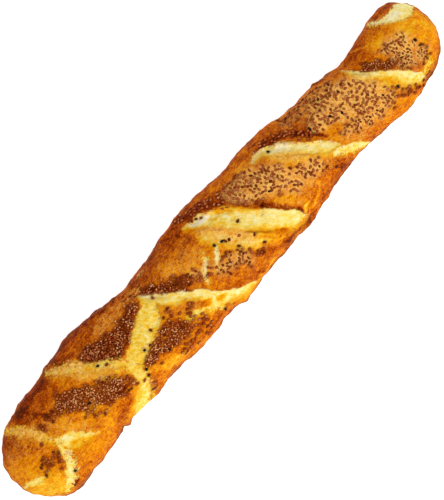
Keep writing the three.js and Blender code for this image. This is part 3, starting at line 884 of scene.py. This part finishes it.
def seed_shape():
    """A sesame seed lying flat, about one unit long each way: its points and its faces."""
    points = [(-0.5, 0, 0)]
    for belt in range(1, SEED_BELTS + 1):
        share = belt / (SEED_BELTS + 1)
        girth = math.sin(math.pi * share) ** SEED_BLUNTNESS * (SEED_BROAD_END - SEED_NARROWING * share) / 2
        for corner in range(SEED_CORNERS):
            angle = 2 * math.pi * corner / SEED_CORNERS
            points.append((share - 0.5, girth * math.cos(angle), girth * math.sin(angle)))
    points.append((0.5, 0, 0))
    last = len(points) - 1
    faces = []
    for corner in range(SEED_CORNERS):
        after = (corner + 1) % SEED_CORNERS
        faces.append((0, 1 + after, 1 + corner))
        faces.append((last, last - SEED_CORNERS + corner, last - SEED_CORNERS + after))
        for belt in range(SEED_BELTS - 1):
            low = 1 + belt * SEED_CORNERS
            high = low + SEED_CORNERS
            faces.append((low + corner, low + after, high + after, high + corner))
    return np.array(points), faces


def throw_darts(path, spacing, tries, draw):
    """Spots thrown over a band, fewer past its edges, some drawn together and some patches thinned."""
    station = draw.integers(0, len(path.middle), tries)
    aside = draw.uniform(-FRINGE, FRINGE, tries)
    ahead = draw.uniform(-DART_SPREAD, DART_SPREAD, tries)
    shift = path.left[station] * (aside * path.half_width[station])[:, None]
    thrown = path.middle[station] + shift + path.heading[station] * ahead[:, None]
    thrown = thrown[np.abs(aside) < draw.uniform(*BAND_EDGE, tries) + draw.exponential(STRAY, tries)]
    turn = draw.uniform(0, 2 * math.pi, len(thrown))
    beside = np.roll(thrown, 1, axis=0) + CLUMP_GAP * np.column_stack([np.cos(turn), np.sin(turn)])
    thrown = np.where(draw.random(len(thrown))[:, None] < CLUMPING, beside, thrown)
    thick = lumps(np.column_stack([thrown, np.zeros(len(thrown))]), THINNING_SIZE, spacing)
    chance = np.clip(MEAN_CHANCE + CHANCE_SWING * thick, LEAST_CHANCE, 1)
    return thrown[draw.random(len(thrown)) < chance]


def sesame_spots(draw):
    """Spots for the sesame, clear of the openings and kept apart, as (x, y, toast, spacing)."""
    singles = [on_loaf(seed) for seed in SINGLE_SEEDS]
    spots = [(x, y, LONE_TOAST, LONE_SPACING) for x, y in singles]
    taken = np.array(singles + [on_loaf(seed) for seed in BLACK_SEEDS], float)
    for picked, spacing, toast, _, _ in SEED_BANDS:
        path = Path(picked)
        wanted = int(path.length * 2 * path.half_width.mean() / spacing ** 2)
        thrown = throw_darts(path, spacing, TRIES_PER_SEED * wanted, draw)
        placed = 0
        for spot in thrown[read_openings(thrown)["inside"] < 0]:
            far, near, _ = outline_at(spot[:1])
            across = abs(spot[1] - (far + near) / 2) / ((far - near) / 2)
            least = min(spacing * draw.uniform(*SEED_GAPS), LEAST_GAP)
            apart = np.hypot(*(taken - spot).T).min() > least
            if across < EDGE_OF_SEEDS and apart and placed < wanted:
                taken = np.vstack([taken, spot])
                spots.append((spot[0], spot[1], toast, spacing))
                placed += 1
    return spots


def seed_piece(name, spots, tree, draw):
    """One joined mesh with a seed lying on the crust at each spot, and where the seeds lie."""
    shape, faces = seed_shape()
    full_size = np.array([SEED_LENGTH, SEED_WIDTH, SEED_HEIGHT]) * MM
    all_points = []
    all_faces = []
    toasts = []
    rises = []
    places = []
    for x, y, toast, spacing in spots:
        hit, normal, _, _ = tree.ray_cast(Vector((x * MM, y * MM, RAY_START)), Vector((0, 0, -1)))
        if hit is None:
            continue
        dense = spacing < DENSE_SPACING
        tipped = LOOSE_TIP if spacing > LOOSE_SPACING else CLOSE_TIP
        up = (normal + Vector(draw.normal(0, tipped, 3))).normalized()
        turn = draw.uniform(0, 2 * math.pi)
        along = Vector((math.cos(turn), math.sin(turn), 0))
        along = (along - along.dot(up) * up).normalized()
        axes = np.array([along, up.cross(along), up])
        size = draw.uniform(*SEED_SIZES, 3) * np.clip(spacing / FULL_SIZE_SPACING, DENSE_SIZE, 1)
        piled = draw.uniform(*(DENSE_PILE if dense else LOOSE_PILE))
        base = np.array(hit) + np.array(normal) * (SEED_RAISED * SEED_HEIGHT + piled) * MM
        toast = toast + draw.normal(0, DENSE_UNEVEN if dense else LOOSE_UNEVEN)
        start = len(all_points) * len(shape)
        all_points.append(base + (shape * (full_size * size)) @ axes)
        all_faces.extend(tuple(corner + start for corner in face) for face in faces)
        toasts.append(np.full(len(shape), np.clip(toast, LEAST_TOAST, 1)))
        # How high each point sits on its seed, for the painted highlight on top and painted shade at the rim
        rises.append(np.clip(shape[:, 2] + 0.5, 0, 1))
        places.append(hit)
    mesh = bpy.data.meshes.new(name)
    mesh.from_pydata(np.concatenate(all_points).tolist(), [], all_faces)
    mesh.shade_smooth()
    write_field(mesh, "toast", np.concatenate(toasts))
    write_field(mesh, "rise", np.concatenate(rises))
    piece = bpy.data.objects.new(name, mesh)
    bpy.context.collection.objects.link(piece)
    return piece, places


# Materials

def linear(red, green, blue):
    """A colour for a shader from the numbers of a screen colour."""
    shares = [channel / 255 for channel in (red, green, blue)]
    return (*[share / 12.92 if share < 0.04045 else ((share + 0.055) / 1.055) ** 2.4 for share in shares], 1)


class Shader:
    """Builds one material's nodes by name, with short ways to add and link them."""

    MIX_INPUTS = (0, 6, 7)
    MIX_COLOUR = 2

    def __init__(self, name):
        self.material = bpy.data.materials.new(name)
        self.material.use_nodes = True
        self.tree = self.material.node_tree
        self.surface = self.tree.nodes["Principled BSDF"]

    def put(self, socket, value):
        """Sets a socket to a number or colour, or links another node's output to it."""
        if isinstance(value, bpy.types.NodeSocket):
            self.tree.links.new(value, socket)
        else:
            socket.default_value = value

    def field(self, name):
        """One of the numbers stored on the mesh's vertices."""
        node = self.tree.nodes.new("ShaderNodeAttribute")
        node.attribute_name = name
        return node.outputs["Fac"]

    def coordinates(self, stretch, turn):
        """The piece's own coordinates, turned about Z and then stretched."""
        place = self.tree.nodes.new("ShaderNodeTexCoord")
        turned = self.tree.nodes.new("ShaderNodeMapping")
        turned.inputs["Rotation"].default_value = (0, 0, turn)
        self.put(turned.inputs["Vector"], place.outputs["Object"])
        stretched = self.tree.nodes.new("ShaderNodeMapping")
        stretched.inputs["Scale"].default_value = stretch
        self.put(stretched.inputs["Vector"], turned.outputs["Vector"])
        return stretched.outputs["Vector"]

    def noise(self, size, detail=2.0, rough=0.5, twist=0.0, stretch=(1, 1, 1), turn=0):
        """Noise from 0 to 1 with lumps of the given size in millimetres."""
        node = self.tree.nodes.new("ShaderNodeTexNoise")
        node.inputs["Distortion"].default_value = twist
        node.inputs["Scale"].default_value = 1 / (size * MM)
        node.inputs["Detail"].default_value = detail
        node.inputs["Roughness"].default_value = rough
        self.put(node.inputs["Vector"], self.coordinates(stretch, turn))
        return node.outputs["Fac"]

    def winding_lines(self, size, thickness):
        """Thin winding lines, 1 on them and 0 off them, with bends of the given size in millimetres."""
        off = self.math("ABSOLUTE", self.math("SUBTRACT", self.noise(size, twist=1.2), 0.5))
        return self.spread(off, 0, thickness, 1, 0)

    def math(self, operation, first, second=0.0, third=0.0):
        """One sum."""
        node = self.tree.nodes.new("ShaderNodeMath")
        node.operation = operation
        for socket, value in zip(node.inputs, (first, second, third)):
            self.put(socket, value)
        return node.outputs[0]

    def times(self, first, second):
        """Two values multiplied."""
        return self.math("MULTIPLY", first, second)

    def layered(self, start, noises, shares, level):
        """A start with noises added by their shares, less the level that they lift it by."""
        for name, share in shares.items():
            start = self.math("MULTIPLY_ADD", noises[name], share, start)
        return self.math("SUBTRACT", start, level)

    def spread(self, value, low, high, to_low=0.0, to_high=1.0):
        """A value brought from one range to another, smoothly and no further than its ends."""
        node = self.tree.nodes.new("ShaderNodeMapRange")
        node.interpolation_type = "SMOOTHSTEP"
        for name, number in (("From Min", low), ("From Max", high), ("To Min", to_low), ("To Max", to_high)):
            self.put(node.inputs[name], number)
        self.put(node.inputs["Value"], value)
        return node.outputs["Result"]

    def ramp(self, value, stops):
        """Colours at places between 0 and 1."""
        node = self.tree.nodes.new("ShaderNodeValToRGB")
        elements = node.color_ramp.elements
        while len(elements) < len(stops):
            elements.new(0.5)
        for element, (place, shade) in zip(elements, stops):
            element.position = place
            element.color = linear(*shade)
        self.put(node.inputs["Fac"], value)
        return node.outputs["Color"]

    def mix(self, share, first, second):
        """Two colours mixed."""
        node = self.tree.nodes.new("ShaderNodeMix")
        node.data_type = "RGBA"
        for place, value in zip(self.MIX_INPUTS, (share, first, second)):
            self.put(node.inputs[place], value)
        return node.outputs[self.MIX_COLOUR]

    def bump(self, height, strength, distance):
        """Fine relief for the light only."""
        node = self.tree.nodes.new("ShaderNodeBump")
        node.inputs["Strength"].default_value = strength
        node.inputs["Distance"].default_value = distance * MM
        self.put(node.inputs["Height"], height)
        return node.outputs["Normal"]

    def finish(self, colour, roughness, specular):
        """Gives the surface its colour and gloss, and hands the material over."""
        looks = {"Base Color": colour, "Roughness": roughness, "Specular IOR Level": specular}
        for name, value in looks.items():
            self.put(self.surface.inputs[name], value)
        return self.material


# Screen colours, some as stops from pale to burnt
BAKE_STOPS = (
    (0.0, (250, 238, 170)),
    (0.12, (249, 221, 112)),
    (0.25, (246, 196, 48)),
    (0.38, (240, 162, 10)),
    (0.5, (230, 134, 2)),
    (0.62, (200, 92, 0)),
    (0.75, (156, 56, 0)),
    (0.88, (112, 34, 0)),
    (1.0, (64, 20, 4)),
)
BED_STOPS = ((0.4, (214, 116, 26)), (0.47, (250, 162, 62)), (0.54, (255, 196, 98)), (0.61, (255, 232, 158)))
# Sesame tops by toast, painted paler as a highlight
SEED_HIGHLIT_TOP_STOPS = (
    (0.2, (240, 174, 108)),
    (0.45, (204, 126, 78)),
    (0.64, (190, 96, 46)),
    (0.8, (154, 66, 22)),
    (1.0, (100, 36, 12)),
)
# Sesame rims by toast, painted darker as shade
SEED_SHADED_RIM_STOPS = (
    (0.2, (170, 90, 46)),
    (0.48, (138, 58, 28)),
    (0.64, (140, 58, 14)),
    (0.84, (126, 48, 12)),
    (1.0, (80, 22, 4)),
)
FLECK = (234, 152, 48)
CRAZE = (253, 204, 98)
# A painted pale highlight round seeds on tan
PALE_RING_HIGHLIGHT = (255, 200, 104)
# Toasted crust with painted contact shade round seeds
SEED_RING_SHADE = (100, 32, 6)
WHITE = (255, 250, 232)
# Painted shade in creases and along slash borders
CREASE_SHADE = (96, 42, 8)
# The sides' dull brown, partly painted shade along the outline
RIM_DULL_AND_SHADE = (116, 76, 30)
BLACK_SEED = (34, 16, 11)

# Noise over crust and seeds, some of it drawn out along the loaf, the slashes or the flecks
STREAK_TURN = math.radians(-8)
SLASH_TURN = math.radians(48)
FLECK_TURN = math.radians(-35)
NOISES = {
    "grain": dict(size=1.2, rough=0.6),
    "fine": dict(size=2.4, rough=0.6, twist=0.5),
    "middling": dict(size=6, detail=3, rough=0.6, twist=0.8),
    "broad": dict(size=26),
    "streaks": dict(size=2.6, detail=3, rough=0.6, twist=0.6, stretch=(0.25, 1, 1), turn=STREAK_TURN),
    "fibres": dict(size=2.6, detail=3, rough=0.65, twist=0.8, stretch=(0.25, 1, 1), turn=SLASH_TURN),
    "flecks": dict(size=2.2, detail=3, rough=0.65, twist=1.8, stretch=(0.35, 1, 1), turn=FLECK_TURN),
    "bed": dict(size=2.6, detail=4, rough=0.8, twist=0.6),
}
SEED_NOISES = {"seed": dict(size=1.4)}

# How much the noises stir the bake, the torn edge and the toast, and the level that they lift each by
CRUST_SHARES = {"grain": 0.42, "fine": 0.44, "middling": 0.5, "broad": 0.35, "streaks": 0.3}
CRUST_LEVEL = 1.005
CRUMB_SHARES = {"fibres": 0.6, "fine": 0.4, "middling": 0.45, "grain": 0.15}
CRUMB_LEVEL = 0.82
RAG_SHARES = {"fine": 1.2, "fibres": 0.8}
RAG_LEVEL = 1
TOAST_SHARES = {"seed": 0.5}
TOAST_LEVEL = 0.22

# Ranges of noise or of bake over which a colour sets in, some with the shares that they lead to
TORN_FROM = -0.45
TORN_TO = 0.55
FLECK_NOISE = (0.51, 0.6)
FLECK_BAKE = (0.85, 0.6)
CRAZE_NOISE = (0.42, 0.56, 0, 1.2)
CRAZE_BAKE = (0.9, 0.65)
CRAZE_OFF_CRUMB = (0, 0.6, 1, 0)
TAN_BAKE = (0.9, 0.5)
TAN_NOISE = (0.36, 0.54, 0.55, 1)
WHITE_NOISE = (0.36, 0.5, 0.5, 1)
RING_PALES = (0.1, 0.5)
RING_SHARE = 0.75
# How high on a seed its painted highlight sets in
SEED_HIGHLIGHT_RISE = (0.55, 0.88)

# The crust's and crumb's roughness and fine relief
CRUST_ROUGHNESS = 0.55
CRUMB_ROUGHNESS = 0.85
FINE_HEIGHT = 0.6
MIDDLING_HEIGHT = 1.4
CRUMB_HEIGHT = 0.4


def crust_material():
    """Crust that browns from gold to burnt, and pale crumb where it tore open, with painted shade in
    creases, at the outline and round the seeds, and a painted highlight round seeds on tan.
    """
    shader = Shader("crust")
    field = shader.field
    noises = {name: shader.noise(**form) for name, form in NOISES.items()}
    fine = noises["fine"]

    rag = shader.layered(0.0, noises, RAG_SHARES, RAG_LEVEL)
    opening = shader.math("MULTIPLY_ADD", field("rag"), rag, field("opening"))
    soft = field("soft")
    torn = shader.spread(opening, shader.times(soft, TORN_FROM), shader.times(soft, TORN_TO))

    bake = shader.layered(field("crust_bake"), noises, CRUST_SHARES, CRUST_LEVEL)
    pale = shader.times(shader.spread(noises["flecks"], *FLECK_NOISE), field("fibrous"))
    pale = shader.times(pale, shader.spread(bake, *FLECK_BAKE))
    crust = shader.mix(pale, shader.ramp(bake, BAKE_STOPS), linear(*FLECK))
    crumb_bake = shader.layered(field("crumb_bake"), noises, CRUMB_SHARES, CRUMB_LEVEL)
    whole = shader.mix(torn, crust, shader.ramp(crumb_bake, BAKE_STOPS))

    tan = shader.times(field("tan_bed"), shader.spread(bake, *TAN_BAKE))
    tan = shader.times(tan, shader.spread(fine, *TAN_NOISE))
    whole = shader.mix(tan, whole, shader.ramp(noises["bed"], BED_STOPS))
    craze = shader.math("MAXIMUM", shader.winding_lines(9, 0.03), shader.winding_lines(5.5, 0.04))
    craze = shader.times(craze, shader.spread(fine, *CRAZE_NOISE))
    craze = shader.times(craze, shader.math("MAXIMUM", field("fibrous"), field("tan_bed")))
    craze = shader.times(craze, shader.spread(bake, *CRAZE_BAKE))
    craze = shader.times(craze, shader.spread(torn, *CRAZE_OFF_CRUMB))
    whole = shader.mix(craze, whole, linear(*CRAZE))
    white = shader.times(field("white"), shader.spread(fine, *WHITE_NOISE))
    whole = shader.mix(white, whole, linear(*WHITE))
    # Round each seed a toasted ring with painted contact shade, or a painted pale highlight on tan
    on_tan = shader.spread(field("tan_bed"), *RING_PALES)
    ring = shader.mix(on_tan, linear(*SEED_RING_SHADE), linear(*PALE_RING_HIGHLIGHT))
    whole = shader.mix(shader.times(field("seed_halo"), RING_SHARE), whole, ring)
    # Painted shade in creases
    whole = shader.mix(field("crease_shade"), whole, linear(*CREASE_SHADE))
    # Dull sides, partly painted shade along the outline
    whole = shader.mix(field("dull"), whole, linear(*RIM_DULL_AND_SHADE))

    height = shader.times(noises["middling"], MIDDLING_HEIGHT)
    height = shader.math("MULTIPLY_ADD", fine, FINE_HEIGHT, height)
    height = shader.times(height, shader.spread(torn, 0, 1, 1, CRUMB_HEIGHT))
    shader.put(shader.surface.inputs["Normal"], shader.bump(height, strength=0.7, distance=0.8))
    roughness = shader.spread(torn, 0, 1, CRUST_ROUGHNESS, CRUMB_ROUGHNESS)
    return shader.finish(whole, roughness, specular=0.012)


def sesame_material():
    """Toasted sesame, with its tops painted paler as a highlight and its rims and tips painted darker as
    shade.
    """
    shader = Shader("sesame")
    noises = {name: shader.noise(**form) for name, form in SEED_NOISES.items()}
    toast = shader.layered(shader.field("toast"), noises, TOAST_SHARES, TOAST_LEVEL)
    # The tops are painted paler as a highlight, the rims darker as shade
    top = shader.spread(shader.field("rise"), *SEED_HIGHLIGHT_RISE)
    colour = shader.mix(top, shader.ramp(toast, SEED_SHADED_RIM_STOPS), shader.ramp(toast, SEED_HIGHLIT_TOP_STOPS))
    return shader.finish(colour, roughness=0.5, specular=0.03)


def black_sesame_material():
    """Black sesame with a dull sheen."""
    return Shader("black_sesame").finish(linear(*BLACK_SEED), roughness=0.5, specular=0.1)


def floor_material():
    """A plain near-white floor."""
    shader = Shader("floor")
    shader.surface.inputs["Emission Color"].default_value = (1, 1, 1, 1)
    shader.surface.inputs["Emission Strength"].default_value = 0.7
    return shader.finish((0.92, 0.92, 0.92, 1), roughness=0.9, specular=0)


# Building the pieces

loaf = model_loaf()
bake_loaf(loaf)
draw = np.random.default_rng(SEED_DRAW)
crust_tree = BVHTree.FromObject(loaf, bpy.context.evaluated_depsgraph_get())
sesame, sesame_places = seed_piece("sesame", sesame_spots(draw), crust_tree, draw)
black_spots = [(*on_loaf(seed), BLACK_TOAST, BLACK_SPACING) for seed in BLACK_SEEDS]
black_sesame, black_places = seed_piece("black_sesame", black_spots, crust_tree, draw)
shade_round_seeds(loaf, sesame_places + black_places)
loaf.data.materials.append(crust_material())
sesame.data.materials.append(sesame_material())
black_sesame.data.materials.append(black_sesame_material())
for piece in (loaf, sesame, black_sesame):
    moved = places_of(piece.data)
    moved[:, 1] -= SHIFT_ACROSS * MM
    piece.data.vertices.foreach_set("co", moved.ravel())
    piece.data.update()
    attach(piece, "root")
    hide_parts("baguette")

# The floor, the light and the camera

FLOOR_SIZE = 6
bpy.ops.mesh.primitive_plane_add(size=FLOOR_SIZE, location=(0, 0, 0))
floor = bpy.context.object
floor.name = "floor"
floor.data.materials.append(floor_material())

SKY_STRENGTH = 0.6
scene = bpy.context.scene
scene.view_settings.view_transform = "Standard"
world = bpy.data.worlds.new("studio")
world.use_nodes = True
world.node_tree.nodes["Background"].inputs["Color"].default_value = (1, 1, 1, 1)
world.node_tree.nodes["Background"].inputs["Strength"].default_value = SKY_STRENGTH
scene.world = world

KEY_DIRECTION = Vector((-0.1, 0.62, -0.78))
KEY_ANGLE = math.radians(30)
KEY_STRENGTH = 1.5
key_data = bpy.data.lights.new("key", "SUN")
key_data.angle = KEY_ANGLE
key_data.energy = KEY_STRENGTH
key = bpy.data.objects.new("key", key_data)
key.rotation_euler = KEY_DIRECTION.to_track_quat("-Z", "Y").to_euler()
scene.collection.objects.link(key)

CAMERA_HEIGHT = 6
CAMERA_TARGET = (-0.00016, -0.0026)
CAMERA_TURN = math.radians(-48.4)
FRAME_HEIGHT = 0.425
OUTLINE_HEIGHT = 0.027
SENSOR_WIDTH = 36
camera_data = bpy.data.cameras.new("camera")
camera_data.sensor_width = SENSOR_WIDTH
camera_data.lens = SENSOR_WIDTH * (CAMERA_HEIGHT - OUTLINE_HEIGHT) / FRAME_HEIGHT
camera = bpy.data.objects.new("camera", camera_data)
camera.location = (*CAMERA_TARGET, CAMERA_HEIGHT)
camera.rotation_euler = (0, 0, CAMERA_TURN)
scene.collection.objects.link(camera)
scene.camera = camera
